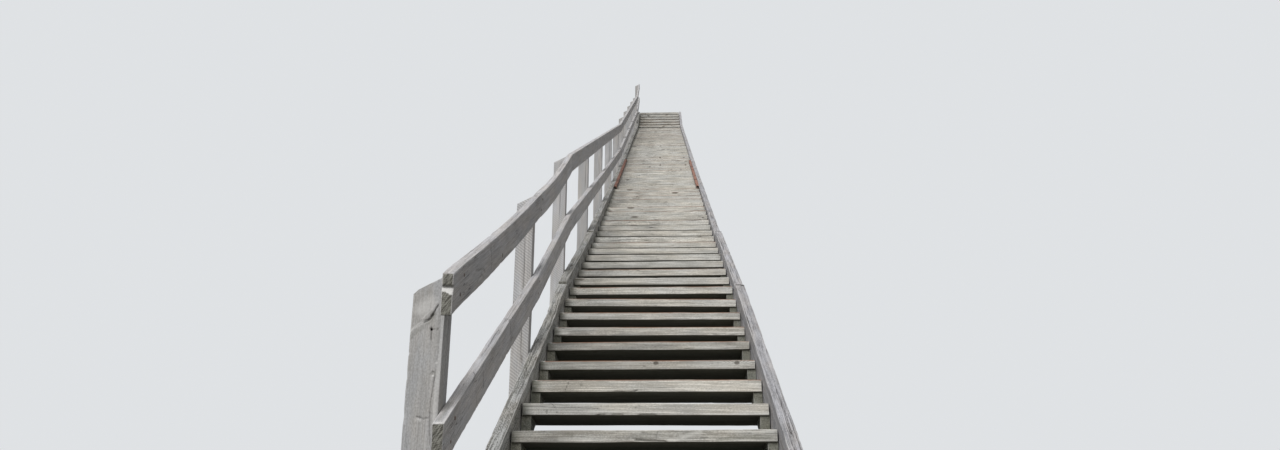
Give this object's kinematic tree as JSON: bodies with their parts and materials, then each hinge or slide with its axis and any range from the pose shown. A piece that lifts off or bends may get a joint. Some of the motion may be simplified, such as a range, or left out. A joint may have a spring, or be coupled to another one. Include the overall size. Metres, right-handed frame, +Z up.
{
  "type": "wooden hillside stairs",
  "caption": "Long straight open-riser timber stair up a slope: plank treads between plank stringers, with a post and two-rail handrail along one side",
  "frame": {"origin": "middle of the newel post's foot, its lowest face, which stands in the ground", "axes": "+Y runs uphill along the stair, +Z is up, +X runs across the stair away from the handrail"},
  "size_m": [1.324, 23.894, 14.8626],
  "materials": {
    "tread_timber": "bare, weathered silver grey",
    "stringer_timber": "bare, weathered silver grey, split along the grain",
    "post_timber": "bare, rough sawn, weathered silver grey",
    "rail_timber": "bare, weathered silver grey",
    "rusty_steel": "bare, rusted red brown"
  },
  "bodies": {
    "root": {"easy_treads": "tread_timber", "foot_treads": "tread_timber", "head_treads": "tread_timber", "left_easy_stringer": "stringer_timber", "left_foot_stringer": "stringer_timber", "left_head_stringer": "stringer_timber", "left_lower_long_stringer": "stringer_timber", "left_middle_long_stringer": "stringer_timber", "left_splice_strip": "rusty_steel", "left_tread_blocks": "stringer_timber", "left_upper_long_stringer": "stringer_timber", "lower_long_treads": "tread_timber", "mid_rail_foot": "rail_timber", "mid_rail_head": "rail_timber", "mid_rail_lower": "rail_timber", "mid_rail_upper": "rail_timber", "middle_long_treads": "tread_timber", "newel_post": "post_timber", "rail_post_02": "post_timber", "rail_post_03": "post_timber", "rail_post_04": "post_timber", "rail_post_05": "post_timber", "rail_post_06": "post_timber", "rail_post_07": "post_timber", "rail_post_08": "post_timber", "rail_post_09": "post_timber", "rail_post_10": "post_timber", "rail_post_11": "post_timber", "rail_post_12": "post_timber", "rail_post_13": "post_timber", "right_easy_stringer": "stringer_timber", "right_foot_stringer": "stringer_timber", "right_head_stringer": "stringer_timber", "right_lower_long_stringer": "stringer_timber", "right_middle_long_stringer": "stringer_timber", "right_splice_strip": "rusty_steel", "right_tread_blocks": "stringer_timber", "right_upper_long_stringer": "stringer_timber", "top_rail_foot": "rail_timber", "top_rail_head": "rail_timber", "top_rail_lower": "rail_timber", "top_rail_upper": "rail_timber", "upper_long_treads": "tread_timber"}
  },
  "joints": []
}
